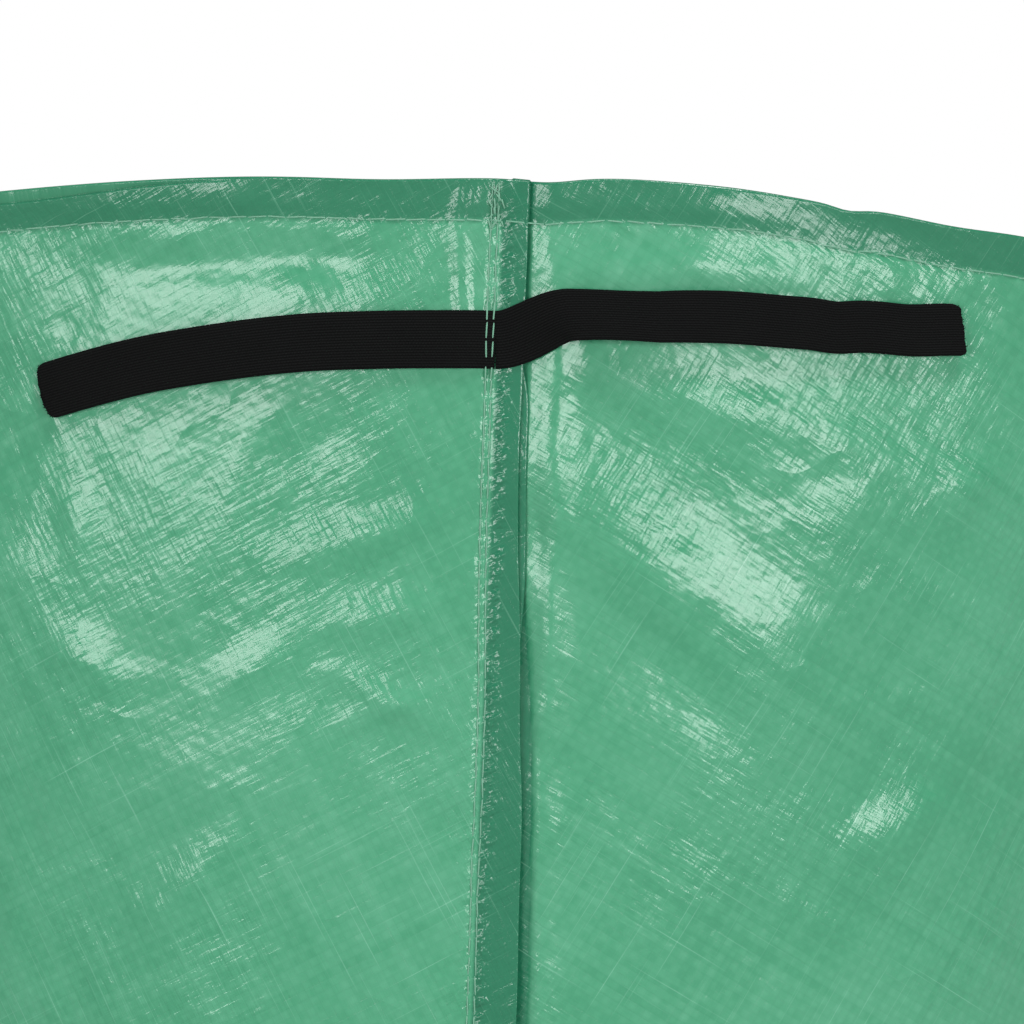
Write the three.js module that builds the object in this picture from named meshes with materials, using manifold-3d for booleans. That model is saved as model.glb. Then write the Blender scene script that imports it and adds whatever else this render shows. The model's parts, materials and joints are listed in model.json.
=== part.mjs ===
// A large tapered grow bag of coated woven tarpaulin, standing open and empty.
// Two wedge-cut wall panels are lapped and sewn at the front and the back, a round base closes the
// bottom, and an elastic tie is sewn across each lap. Two webbing handles hang from the rim, and
// eyelets low in the wall let water out. Millimetres, +Z up, the origin is under the middle of the
// base, and the front lap faces -Y.
import * as THREE from "three";
import { mergeVertices } from "three/addons/utils/BufferGeometryUtils.js";
import Module from "manifold-3d";

const wasm = await Module();
wasm.setup();

// ---- driving dimensions -------------------------------------------------------------------------
const rimRadius = 500; // outer surface of the wall at the rim
const wallSlant = 540; // rim to base, measured down the wall
const panelAngle = 60; // degrees of the flat wedge that each wall panel is cut from
const panelCount = 2;
const sheet = 0.8; // thickness that stands for the cloth
const gap = 0.35; // kept between pieces that touch
const hemDepth = 15;
const hemFold = 0.4; // air inside the folded hem
const footWidth = 15; // turned in over the base
const lapWidth = 13; // upper panel, past the middle of the stitching
const tuckWidth = 7; // lower panel, past the middle of the stitching on the other side
const joggle = 2; // length over which the lower panel steps inwards
const facets = 96;

const tie = { width: 20, thickness: 1.4, centre: 54, reach: 163, sewn: 3.5 };
const tieLeft = { sag: 16, sagPower: 2.2, standOff: 1.5 };
const tieRight = { step: 7, stepEnd: 0.13, climb: 9.5, climbStart: 0.2, standOff: 4 };
// ramp: length over which a thread climbs onto what it crosses; top, bottom: wall left unstitched
const seamThread = { width: 0.7, thickness: 0.5, spacing: 2.4, ramp: 1.2, top: 1, bottom: 4 };
const handle = { width: 30, thickness: 1.8, spread: 75, top: 18, sewn: 70, straight: 70, foldRoom: 1.3 };
const handleStitch = { side: 4, top: 14, bottom: 5 }; // how far the stitched box is inside the sewn end
const eyelet = { flange: 9, bore: 5, barrel: 5.6, plate: 0.9, chamfer: 0.8, height: 45, hole: 6 };
const eyeletFacets = [-39, -25, -10, 9, 24, 38]; // facets of the wall with an eyelet, from the front

// ---- cone geometry ------------------------------------------------------------------------------
const leanSine = (panelAngle * panelCount) / 360; // a cone rolled from that much of a full disc
const lean = Math.asin(leanSine);
const height = wallSlant * Math.cos(lean);
const hemThickness = 2 * sheet + hemFold;
const lapStep = hemThickness + gap; // how far the lower panel lies inside the upper one
const wallBottom = sheet + gap; // the turned-in foot lies on the base
const radians = THREE.MathUtils.degToRad;

// Radius and height of a point `down` mm below the rim along the wall, and `inward` of its outside.
const onWall = (down, inward = 0) =>
  new THREE.Vector2(
    rimRadius - down * Math.sin(lean) - inward * Math.cos(lean),
    height - down * Math.cos(lean) + inward * Math.sin(lean),
  );

// The same in space, `turn` radians from the front towards +X.
function wallPoint(turn, down, outward) {
  const { x: radius, y: z } = onWall(down, -outward);
  return new THREE.Vector3(radius * Math.sin(turn), -radius * Math.cos(turn), z);
}

const wallOut = (turn) =>
  new THREE.Vector3(Math.cos(lean) * Math.sin(turn), -Math.cos(lean) * Math.cos(turn), -Math.sin(lean));

// ---- solids -------------------------------------------------------------------------------------
function toSolid(geometry) {
  const bare = geometry.clone();
  bare.deleteAttribute("normal");
  bare.deleteAttribute("uv");
  const merged = mergeVertices(bare, 1e-4);
  return new wasm.Manifold(
    new wasm.Mesh({
      numProp: 3,
      vertProperties: merged.attributes.position.array,
      triVerts: new Uint32Array(merged.index.array),
    }),
  );
}

function toGeometry(solid) {
  const mesh = solid.getMesh();
  const geometry = new THREE.BufferGeometry();
  geometry.setAttribute("position", new THREE.BufferAttribute(mesh.vertProperties, mesh.numProp));
  geometry.setIndex(new THREE.BufferAttribute(mesh.triVerts, 1));
  return geometry;
}

// A profile of [radius, height] points turned about +Z, with a corner facing the front.
function turned(profile) {
  return new THREE.LatheGeometry(profile, facets).rotateX(Math.PI / 2);
}

const closed = (profile) => [...profile, profile[0]];

// A box from one corner to the other.
function block(low, high) {
  const size = new THREE.Vector3().subVectors(high, low);
  const middle = new THREE.Vector3().addVectors(low, high).multiplyScalar(0.5);
  return new THREE.BoxGeometry(size.x, size.y, size.z).translate(middle.x, middle.y, middle.z);
}

// A flat strip along a route: frameAt(0..1) gives its centre, its running direction and its face.
function strip(frameAt, { width, thickness }, steps) {
  const geometry = new THREE.BoxGeometry(1, width, thickness, steps, 1, 1).translate(0.5, 0, 0);
  const position = geometry.attributes.position;
  for (let i = 0; i < position.count; i++) {
    const { centre, along, out } = frameAt(position.getX(i));
    const across = new THREE.Vector3().crossVectors(out, along).normalize();
    centre.addScaledVector(across, position.getY(i)).addScaledVector(out, position.getZ(i));
    position.setXYZ(i, centre.x, centre.y, centre.z);
  }
  return geometry;
}

// A strip laid on the wall along route(0..1), which gives the turn, the distance down and the air.
function wallStrip(route, section, steps) {
  const frameAt = (t) => {
    const here = route(t);
    const near = 1e-3;
    const before = route(Math.max(t - near, 0));
    const after = route(Math.min(t + near, 1));
    const lift = (place) => wallPoint(place.turn, place.down, place.air + section.thickness / 2);
    const out = wallOut(here.turn);
    const along = lift(after).sub(lift(before));
    along.addScaledVector(out, -along.dot(out)).normalize();
    return { centre: lift(here), along, out };
  };
  return strip(frameAt, section, steps);
}

// ---- cloth --------------------------------------------------------------------------------------
// Section of the wall: a folded hem at the rim and a foot turned in over the base.
function wallProfile(inset, footBottom) {
  const atHeight = (z, inward) => {
    const down = (height - z + inward * Math.sin(lean)) / Math.cos(lean);
    return new THREE.Vector2(onWall(down, inward).x, z);
  };
  const toe = onWall(wallSlant, inset).x - footWidth;
  return closed([
    atHeight(footBottom, inset),
    onWall(0, inset),
    onWall(0, inset + hemThickness),
    onWall(hemDepth, inset + hemThickness),
    onWall(hemDepth, inset + sheet + hemFold),
    onWall(sheet, inset + sheet + hemFold),
    onWall(sheet, inset + sheet),
    atHeight(footBottom + sheet, inset + sheet),
    new THREE.Vector2(toe, footBottom + sheet),
    new THREE.Vector2(toe, footBottom),
  ]);
}

const overProfile = wallProfile(0, wallBottom);
const underProfile = wallProfile(lapStep, wallBottom + sheet + gap);

// Where the lower panel steps inwards: everything between the outside of one layer and the inside
// of the other.
function joggleProfile() {
  const outside = overProfile.slice(0, 2);
  const inside = [2, 3, 7, 8].map((corner) => underProfile[corner]);
  const toe = new THREE.Vector2(underProfile[9].x, wallBottom);
  return closed([...outside, ...inside, toe]);
}

// One wall panel: over the other one at the front, and under it at the back.
function wallPanel() {
  const beyond = rimRadius * 1.2; // past the bag on every side
  const overlap = 0.01; // so that the front and back halves join
  const frontHalf = toSolid(block(
    new THREE.Vector3(-beyond, -beyond, -beyond),
    new THREE.Vector3(lapWidth, 0, beyond),
  ));
  const backHalf = (from, to) => toSolid(block(
    new THREE.Vector3(from, -overlap, -beyond),
    new THREE.Vector3(to, beyond, beyond),
  ));
  const step = -lapWidth - gap;
  const over = toSolid(turned(overProfile));
  const under = toSolid(turned(underProfile));
  const between = toSolid(turned(joggleProfile()));
  return over
    .intersect(frontHalf.add(backHalf(-beyond, step)))
    .add(between.intersect(backHalf(step - joggle, step)))
    .add(under.intersect(backHalf(step - joggle, tuckWidth)));
}

function basePanel() {
  const edge = onWall((height - wallBottom) / Math.cos(lean)).x;
  return turned([
    new THREE.Vector2(0, 0),
    new THREE.Vector2(edge, 0),
    new THREE.Vector2(edge, sheet),
    new THREE.Vector2(0, sheet),
  ]);
}

// ---- threads ------------------------------------------------------------------------------------
// A thread lying round the bag at a given radius and height.
function ringThread({ x: radius, y: z }) {
  const half = seamThread.width / 2;
  return turned(closed([
    new THREE.Vector2(radius + half, z - half),
    new THREE.Vector2(radius + half, z + half),
    new THREE.Vector2(radius - half, z + half),
    new THREE.Vector2(radius - half, z - half),
  ]));
}

const hemThreadDown = hemDepth - 1;
const tieTop = tie.centre - tie.width / 2;
const tieBottom = tie.centre + tie.width / 2;

// One row of stitching down a lap, which passes over the hem thread and over the tie.
// side is -1 or 1: the two rows lie either side of the middle of the stitching.
function lapThread(lapTurn, side) {
  const { width, ramp, top, bottom } = seamThread;
  const overRing = 2 * gap + width;
  const overTie = 2 * gap + tie.thickness;
  const bump = (from, to, air) => [[from - ramp, gap], [from, air], [to, air], [to + ramp, gap]];
  const stations = [
    [top, gap],
    ...bump(hemThreadDown - width, hemThreadDown + width, overRing),
    ...bump(tieTop - gap, tieBottom + gap, overTie),
    [wallSlant / 2, gap],
    [wallSlant - bottom, gap],
  ];
  const route = (t) => {
    const place = t * (stations.length - 1);
    const before = Math.min(Math.floor(place), stations.length - 2);
    const [down, air] = [0, 1].map((k) =>
      THREE.MathUtils.lerp(stations[before][k], stations[before + 1][k], place - before),
    );
    return { turn: lapTurn + (side * seamThread.spacing) / 2 / onWall(down).x, down, air };
  };
  return wallStrip(route, seamThread, stations.length - 1);
}

// ---- elastic ties -------------------------------------------------------------------------------
// side -1 runs to the left of the lap and sags. Side 1 steps up over the lap's edge, climbs steadily
// towards the rim, and stands off the wall further.
function tieRoute(lapTurn, side) {
  const from = tie.sewn + gap;
  const { smoothstep } = THREE.MathUtils;
  const { standOff } = side < 0 ? tieLeft : tieRight;
  const sagging = (t) => tieLeft.sag * t ** tieLeft.sagPower;
  const rising = (t) => {
    const { step, stepEnd, climb, climbStart } = tieRight;
    const climbed = Math.max(0, (t - climbStart) / (1 - climbStart));
    return -step * smoothstep(t, 0, stepEnd) - climb * climbed;
  };
  return (t) => {
    const along = from + (tie.reach - from) * t;
    const lower = side < 0 ? sagging(t) : rising(t);
    const air = gap + standOff * Math.sin(Math.PI * t) ** 2;
    return { turn: lapTurn + (side * along) / onWall(tie.centre).x, down: tie.centre + lower, air };
  };
}

function tieMiddle(lapTurn) {
  const halfTurn = tie.sewn / onWall(tie.centre).x;
  const route = (t) => ({ turn: lapTurn + halfTurn * (2 * t - 1), down: tie.centre, air: gap });
  return wallStrip(route, tie, 1);
}

// ---- handles ------------------------------------------------------------------------------------
// The axis that a handle swings about lies just outside its sewn ends, along Y.
const legInnerTurn = handle.spread / onWall(handle.top).x - handle.width / 2 / rimRadius;
const overLeg = onWall(handle.top, -(gap + 1.5 * handle.thickness + handle.foldRoom));
const handleAxis = { x: overLeg.x * Math.cos(legInnerTurn), z: overLeg.y };

// The hanging loop, for the handle at +X: down, half a circle and up, turning edge-on below.
function handleLoop() {
  const arc = Math.PI * handle.spread;
  const length = 2 * handle.straight + arc;
  const twistEnd = 0.42; // share of the loop, from each end, over which it turns edge-on
  const frameAt = (t) => {
    const run = t * length;
    const bend = THREE.MathUtils.clamp((run - handle.straight) / handle.spread, 0, Math.PI);
    const left = Math.min(run, handle.straight);
    const right = Math.max(run - handle.straight - arc, 0);
    const twist = (Math.PI / 2) * THREE.MathUtils.smoothstep(Math.min(t, 1 - t), 0, twistEnd);
    const centre = new THREE.Vector3(
      handleAxis.x,
      -handle.spread * Math.cos(bend),
      handleAxis.z - left - handle.spread * Math.sin(bend) + right,
    );
    const along = new THREE.Vector3(0, Math.sin(bend), -Math.cos(bend));
    const inPlane = new THREE.Vector3(0, Math.cos(bend), Math.sin(bend));
    const out = new THREE.Vector3(Math.cos(twist), 0, 0).addScaledVector(inPlane, -Math.sin(twist));
    return { centre, along, out };
  };
  return strip(frameAt, handle, 30);
}

// A sewn end of the handle at +X, flat on the wall under the fold: side is -1 or 1 along Y.
function handleEnd(side) {
  const route = (t) => {
    const down = handle.top + handle.sewn * t;
    return { turn: Math.PI / 2 + (side * handle.spread) / onWall(down).x, down, air: gap };
  };
  return wallStrip(route, handle, 4);
}

// The stitching of one sewn end: a box with a cross in it.
function handleThread(side) {
  const halfWidth = handle.width / 2 - handleStitch.side;
  const top = handle.top + handleStitch.top;
  const bottom = handle.top + handle.sewn - handleStitch.bottom;
  const corners = [[-1, top], [1, top], [1, bottom], [-1, bottom]];
  const lines = [[0, 1], [1, 2], [2, 3], [3, 0], [0, 2], [1, 3]];
  const line = ([a, b]) => {
    const [from, to] = [corners[a], corners[b]];
    const route = (t) => {
      const down = THREE.MathUtils.lerp(from[1], to[1], t);
      const aside = side * handle.spread + halfWidth * THREE.MathUtils.lerp(from[0], to[0], t);
      return { turn: Math.PI / 2 + aside / onWall(down).x, down, air: 2 * gap + handle.thickness };
    };
    return toSolid(wallStrip(route, seamThread, 4));
  };
  return toGeometry(lines.map(line).reduce((all, one) => all.add(one)));
}

// ---- drain eyelets ------------------------------------------------------------------------------
const eyeletDown = wallSlant - eyelet.height;
const eyeletTurns = eyeletFacets.map((facet) => radians(((facet + 0.5) * 360) / facets));
const roundFacets = 24;
const drillLength = 20;

// Turned about the eyelet's own axis, with heights measured outwards from the wall's surface.
const eyeletTurned = (profile) => new THREE.LatheGeometry(closed(profile), roundFacets);

function eyeletBody() {
  const inside = -(sheet + 2 * gap + 2 * eyelet.plate);
  return eyeletTurned([
    new THREE.Vector2(eyelet.barrel, inside),
    new THREE.Vector2(eyelet.barrel, gap),
    new THREE.Vector2(eyelet.flange, gap),
    new THREE.Vector2(eyelet.flange - eyelet.chamfer, gap + eyelet.plate),
    new THREE.Vector2(eyelet.bore, gap + eyelet.plate),
    new THREE.Vector2(eyelet.bore, inside),
  ]);
}

function eyeletWasher() {
  const face = -(sheet + gap);
  return eyeletTurned([
    new THREE.Vector2(eyelet.flange, face - eyelet.plate),
    new THREE.Vector2(eyelet.flange, face),
    new THREE.Vector2(eyelet.barrel + gap, face),
    new THREE.Vector2(eyelet.barrel + gap, face - eyelet.plate),
  ]);
}

// Stands an eyelet piece, whose axis is +Y, out of the flat facet at that turn.
function onFacet(geometry, turn) {
  const flat = Math.cos(Math.PI / facets); // a facet's middle is nearer the axis than its corners
  const centre = onWall(eyeletDown);
  const slope = new THREE.Quaternion().setFromUnitVectors(new THREE.Vector3(0, 1, 0), wallOut(turn));
  return geometry
    .applyQuaternion(slope)
    .translate(centre.x * flat * Math.sin(turn), -centre.x * flat * Math.cos(turn), centre.y);
}

function eyeletHoles() {
  const drill = () => new THREE.CylinderGeometry(eyelet.hole, eyelet.hole, drillLength, roundFacets);
  return eyeletTurns
    .map((turn) => toSolid(onFacet(drill(), turn)))
    .reduce((all, one) => all.add(one));
}

// ---- materials ----------------------------------------------------------------------------------
const cloth = new THREE.MeshStandardMaterial({ color: 0x5fac88, roughness: 0.35, metalness: 0 });
const thread = new THREE.MeshStandardMaterial({ color: 0x8cc4a6, roughness: 0.6, metalness: 0 });
const elastic = new THREE.MeshStandardMaterial({ color: 0x191a1a, roughness: 0.85, metalness: 0 });
const webbing = new THREE.MeshStandardMaterial({ color: 0x17181a, roughness: 0.75, metalness: 0 });
const nickel = new THREE.MeshStandardMaterial({ color: 0xb9bcbd, roughness: 0.3, metalness: 1 });

// ---- assembly -----------------------------------------------------------------------------------
const bag = new THREE.Group();

function add(name, geometry, material) {
  const mesh = new THREE.Mesh(geometry, material);
  mesh.name = name;
  bag.add(mesh);
}

const halfTurn = new THREE.Matrix4().makeRotationZ(Math.PI);
const leftPanel = wallPanel();
const rightPanel = toSolid(toGeometry(leftPanel).applyMatrix4(halfTurn));
const holes = eyeletHoles();
add("wall_panel_left", toGeometry(leftPanel.subtract(holes)), cloth);
add("wall_panel_right", toGeometry(rightPanel.subtract(holes)), cloth);
add("base_panel", basePanel(), cloth);

const threadAir = gap + seamThread.width / 2;
add("hem_thread", ringThread(onWall(hemThreadDown, -threadAir)), thread);
const footMiddle = onWall(wallSlant, lapStep).x - footWidth / 2;
const footTop = wallBottom + 2 * sheet + gap; // where one panel's foot lies on the other's
add(
  "base_seam_thread",
  ringThread(new THREE.Vector2(footMiddle, footTop + threadAir)),
  thread,
);

for (const [place, lapTurn] of [["front", 0], ["back", Math.PI]]) {
  add(`${place}_lap_thread_left`, lapThread(lapTurn, -1), thread);
  add(`${place}_lap_thread_right`, lapThread(lapTurn, 1), thread);
  add(`${place}_tie_middle`, tieMiddle(lapTurn), elastic);
  add(`${place}_tie_left`, wallStrip(tieRoute(lapTurn, -1), tie, 16), elastic);
  add(`${place}_tie_right`, wallStrip(tieRoute(lapTurn, 1), tie, 16), elastic);
}

for (const [place, turn] of [["right", 0], ["left", Math.PI]]) {
  const turnedRound = new THREE.Matrix4().makeRotationZ(turn);
  add(`${place}_handle_loop`, handleLoop().applyMatrix4(turnedRound), webbing);
  [-1, 1].forEach((side, i) => {
    add(`${place}_handle_end_${i + 1}`, handleEnd(side).applyMatrix4(turnedRound), webbing);
    add(`${place}_handle_thread_${i + 1}`, handleThread(side).applyMatrix4(turnedRound), thread);
  });
}

eyeletTurns.forEach((turn, i) => {
  add(`drain_eyelet_${i + 1}`, onFacet(eyeletBody(), turn), nickel);
  add(`drain_washer_${i + 1}`, onFacet(eyeletWasher(), turn), nickel);
});

export default bag;
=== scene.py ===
# A tapered grow bag of coated woven tarpaulin, standing open and empty.
import json
import math

import bmesh
import bpy
import numpy as np
from mathutils import Matrix, Quaternion, Vector


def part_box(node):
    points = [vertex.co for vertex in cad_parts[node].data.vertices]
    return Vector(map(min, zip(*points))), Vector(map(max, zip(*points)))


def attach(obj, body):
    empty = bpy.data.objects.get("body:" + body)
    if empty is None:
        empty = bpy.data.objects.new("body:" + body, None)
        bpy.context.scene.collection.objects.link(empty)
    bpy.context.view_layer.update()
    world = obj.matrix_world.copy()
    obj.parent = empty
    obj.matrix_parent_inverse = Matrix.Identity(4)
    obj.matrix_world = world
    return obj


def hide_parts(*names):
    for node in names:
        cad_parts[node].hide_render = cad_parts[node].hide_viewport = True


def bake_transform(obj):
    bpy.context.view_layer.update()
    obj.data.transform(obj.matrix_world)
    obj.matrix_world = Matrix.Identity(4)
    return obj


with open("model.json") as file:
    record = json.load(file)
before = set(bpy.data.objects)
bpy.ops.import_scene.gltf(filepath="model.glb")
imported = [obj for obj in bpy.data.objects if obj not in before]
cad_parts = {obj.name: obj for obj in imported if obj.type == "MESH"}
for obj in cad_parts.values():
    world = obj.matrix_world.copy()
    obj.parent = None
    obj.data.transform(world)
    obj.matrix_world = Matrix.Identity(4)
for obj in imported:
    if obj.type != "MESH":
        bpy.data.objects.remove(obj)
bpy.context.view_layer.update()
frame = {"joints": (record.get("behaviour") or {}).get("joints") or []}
joints = {joint["name"]: joint for joint in frame["joints"]}

# the cone that the wall lies on, read from the frame
rimRadius = -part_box("wall_panel_left")[0].x
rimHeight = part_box("wall_panel_left")[1].z
slopeUp = Vector(joints["front_tie_left_swing"]["axis"])
sinLean, cosLean = -slopeUp.y, slopeUp.z
wallSlant = rimHeight / cosLean
apexSlant = rimRadius / sinLean  # from the rim to the point of the cone, and the flat rim's radius
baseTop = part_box("base_panel")[1].z
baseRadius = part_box("base_panel")[1].x


# nodes as expressions

class Signal:
    def __init__(self, graph, socket):
        self.graph = graph
        self.socket = socket

    def maths(self, operation, *values):
        return self.graph.add("ShaderNodeMath", dict(operation=operation), list(values))

    def __add__(self, other):
        return self.maths("ADD", self, other)

    def __radd__(self, other):
        return self.maths("ADD", other, self)

    def __sub__(self, other):
        return self.maths("SUBTRACT", self, other)

    def __rsub__(self, other):
        return self.maths("SUBTRACT", other, self)

    def __mul__(self, other):
        return self.maths("MULTIPLY", self, other)

    def __rmul__(self, other):
        return self.maths("MULTIPLY", other, self)

    def __truediv__(self, other):
        return self.maths("DIVIDE", self, other)

    def __pow__(self, other):
        return self.maths("POWER", self, other)

    def sine(self):
        return self.maths("SINE", self)

    def floor(self):
        return self.maths("FLOOR", self)

    def fraction(self):
        return self.maths("FRACT", self)

    def size(self):
        return self.maths("ABSOLUTE", self)


class Graph:
    def __init__(self, tree):
        self.tree = tree

    # settings are set first, then each socket gets its value or its link
    def add(self, kind, settings=None, sockets=None, output=0):
        node = self.tree.nodes.new(kind)
        for name, value in (settings or {}).items():
            if name == "stops":
                self.setStops(node, value)
            else:
                setattr(node, name, value)
        pairs = sockets.items() if isinstance(sockets, dict) else enumerate(sockets or [])
        for key, value in pairs:
            if isinstance(value, Signal):
                self.tree.links.new(value.socket, node.inputs[key])
            else:
                node.inputs[key].default_value = value
        self.last = node
        if not node.outputs:
            return None
        return Signal(self, node.outputs[output])

    def setStops(self, node, stops):
        elements = node.color_ramp.elements
        while len(elements) < len(stops):
            elements.new(0.5)
        for element, (place, value) in zip(elements, stops):
            element.position = place
            element.color = (value, value, value, 1)

    def out(self, name):
        return Signal(self, self.last.outputs[name])

    def vector(self, x, y, z=0.0):
        return self.add("ShaderNodeCombineXYZ", None, [x, y, z])

    def noise(self, vector, scale, detail=2.0, roughness=0.5):
        return self.add(
            "ShaderNodeTexNoise", None,
            {"Vector": vector, "Scale": scale, "Detail": detail, "Roughness": roughness},
        )

    def ramp(self, value, stops):
        return self.add("ShaderNodeValToRGB", dict(stops=stops), {"Fac": value})

    def mix(self, factor, first, second):
        return self.add("ShaderNodeMix", dict(data_type="RGBA"), {0: factor, 6: first, 7: second}, 2)

    def bump(self, height, distance, below=None):
        sockets = {"Strength": 1.0, "Distance": distance, "Height": height}
        if below is not None:
            sockets["Normal"] = below
        return self.add("ShaderNodeBump", None, sockets)


def newMaterial(name, sockets, build):
    material = bpy.data.materials.new(name)
    material.use_nodes = True
    graph = Graph(material.node_tree)
    shader = material.node_tree.nodes["Principled BSDF"]
    for key, value in {**sockets, **build(graph)}.items():
        if isinstance(value, Signal):
            graph.tree.links.new(value.socket, shader.inputs[key])
        else:
            shader.inputs[key].default_value = value
    return material


def fromScreen(red, green, blue):
    linear = [((c / 255 + 0.055) / 1.055) ** 2.4 if c > 10 else c / 255 / 12.92 for c in (red, green, blue)]
    return (*linear, 1.0)


# materials

tarpaulin = dict(
    pitch=0.00303,  # from tape to tape
    deep=fromScreen(58, 139, 104),
    middle=fromScreen(76, 160, 121),
    pale=fromScreen(108, 183, 148),
    # darker colour of doubled cloth, also used as painted shade in the valley beside the lap's fold
    layeredAndShaded=fromScreen(36, 119, 87),
    # pale colour of the thin lines along the grain: lighter tape, and painted glint
    paleLineAndGlint=fromScreen(146, 207, 179),
    roughness=0.18,
)


# Noise stretched along the cloth's y: as wide as one part in across, as long as one in along.
def streaks(graph, across, along, sizes, seed):
    return graph.noise(graph.vector(across * sizes[0], along * sizes[1], seed), 1.0, 2.0, 0.55)


def tarpaulinNodes(graph):
    graph.add("ShaderNodeUVMap", dict(uv_map="flat"))
    flat = graph.out("UV")
    graph.add("ShaderNodeSeparateXYZ", None, [flat])
    x, y = graph.out("X"), graph.out("Y")
    across, along = x / tarpaulin["pitch"], y / tarpaulin["pitch"]
    layers = graph.add("ShaderNodeAttribute", dict(attribute_name="layers"), None, 2)
    pull = graph.add("ShaderNodeAttribute", dict(attribute_name="pull"), None, 2)
    # broad bands of thicker or thinner tape, both ways of the cloth, and thin pale lines along them: lighter
    # tape, and painted glints of the coating
    warp, weft = streaks(graph, x, y, (200, 6), 1.0), streaks(graph, y, x, (170, 6), 7.0)
    warpLine, weftLine = streaks(graph, x, y, (1100, 14), 11.0), streaks(graph, y, x, (1000, 14), 15.0)
    tapeA = graph.add("ShaderNodeTexWhiteNoise", dict(noise_dimensions="1D"), {"W": across.floor()})
    tapeB = graph.add("ShaderNodeTexWhiteNoise", dict(noise_dimensions="1D"), {"W": along.floor() + 91.3})
    cloudy = graph.noise(flat, 11.0, 3.0)
    waveA, waveB = (across * math.pi).sine(), (along * math.pi).sine()
    woven = waveA * waveB
    edges = (waveA.size() ** 0.3) * (waveB.size() ** 0.3)
    shade = 0.5 + (warp - 0.5) * 0.23 + (weft - 0.5) * 0.23 + (tapeA + tapeB - 1.0) * 0.06
    shade = shade + (cloudy - 0.5) * 0.40 + woven * 0.03
    paler = graph.ramp(shade, [(0.45, 0.0), (0.90, 1.0)])
    colour = graph.mix(paler, tarpaulin["middle"], tarpaulin["pale"])
    colour = graph.mix(graph.ramp(shade, [(0.12, 1.0), (0.48, 0.0)]), colour, tarpaulin["deep"])
    colour = graph.mix((1 - edges) * 0.16, colour, tarpaulin["deep"])
    # thin pale lines along both grains, partly tape and partly painted glints
    lines = graph.ramp(warpLine, [(0.63, 0.0), (0.78, 1.0)])
    lines = lines + graph.ramp(weftLine, [(0.66, 0.0), (0.80, 1.0)])
    # darker where the cloth lies doubled, and painted shade in the valley beside the lap's fold
    colour = graph.mix(layers, colour, tarpaulin["layeredAndShaded"])
    colour = graph.mix(lines * 0.42, colour, tarpaulin["paleLineAndGlint"])
    # the coating's crinkles, the fine wrinkles along each tape, the weave, and the pull of the stitching
    wrinkleA, wrinkleB = streaks(graph, x, y, (1000, 130), 21.0), streaks(graph, y, x, (1000, 130), 25.0)
    foldA, foldB = streaks(graph, x, y, (330, 60), 31.0), streaks(graph, y, x, (330, 60), 35.0)
    handled = graph.ramp(graph.noise(flat, 15.0, 2.0), [(0.42, 0.32), (0.62, 1.0)])
    rubbed = graph.add("ShaderNodeAttribute", dict(attribute_name="rubbed"), None, 2)
    handled = handled + (rubbed - handled * rubbed) * 1.2
    tilt = (across.fraction() - 0.5) * (tapeA - 0.5) + (along.fraction() - 0.5) * (tapeB - 0.5)
    relief = woven * 0.4 + edges * 0.5 + tilt * 1.1 + (warp + weft) * 0.8
    film = graph.noise(graph.vector(x, y, 3.0), 52.0, 2.0, 0.5)
    crinkle = graph.noise(graph.vector(x, y, 9.0), 24.0, 2.0, 0.5)
    pucker = graph.noise(graph.vector(x * 0.7, y * 1.2, 5.0), 220.0, 2.0, 0.5)
    pucker = graph.ramp(pucker, [(0.36, 0.0), (0.70, 1.0)])
    calm = 1.0 - layers * 0.45
    normal = graph.bump((crinkle - 0.5).size() * calm * -1.0, 0.0024)
    normal = graph.bump(film * calm, 0.0007, normal)
    normal = graph.bump((foldA + foldB) * handled, 0.00042, normal)
    normal = graph.bump(pucker * pull, 0.00085, normal)
    normal = graph.bump((wrinkleA + wrinkleB) * handled, 0.00013, normal)
    normal = graph.bump(relief, 0.00005, normal)
    rough = tarpaulin["roughness"] + (warp - 0.5) * 0.16 + (weft - 0.5) * 0.16 + (cloudy - 0.5) * 0.12
    return {"Base Color": colour, "Roughness": rough, "Normal": normal}


thread = dict(colour=fromScreen(152, 203, 178), shadow=fromScreen(84, 146, 116))


def threadNodes(graph):
    place = graph.add("ShaderNodeTexCoord", None, None, 3)
    fuzz = graph.noise(place, 2400.0, 2.0)
    tint = graph.noise(place, 60.0, 1.0)
    colour = graph.mix(fuzz * 0.6 + tint * 0.3, thread["shadow"], thread["colour"])
    return {"Base Color": colour, "Roughness": 0.45 + fuzz * 0.3, "Normal": graph.bump(fuzz, 0.0001)}


elastic = dict(ribPitch=0.00095, knit=0.0011, dark=fromScreen(9, 10, 10), worn=fromScreen(27, 28, 28))


def elasticNodes(graph):
    graph.add("ShaderNodeUVMap", dict(uv_map="flat"))
    graph.add("ShaderNodeSeparateXYZ", None, [graph.out("UV")])
    side, run = graph.out("X"), graph.out("Y")
    rib = (side * (math.pi / elastic["ribPitch"])).sine().size()
    stagger = (side / elastic["ribPitch"]).floor() * 0.5
    loops = ((run / elastic["knit"] + stagger) * math.pi).sine().size()
    lint = graph.noise(graph.vector(side, run), 900.0, 3.0, 0.7)
    patchy = graph.noise(graph.vector(side, run), 45.0, 2.0)
    worn = rib * loops * 0.45 + (lint - 0.4) * 0.5 + (patchy - 0.5) * 0.3
    colour = graph.mix(worn, elastic["dark"], elastic["worn"])
    normal = graph.bump(rib * 0.9 + rib * loops * 0.5 + lint * 0.35, 0.00034)
    return {"Base Color": colour, "Roughness": 0.74 + lint * 0.2, "Normal": normal}


webbing = dict(pitch=0.0017, dark=fromScreen(14, 15, 16), worn=fromScreen(44, 46, 48))


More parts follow.
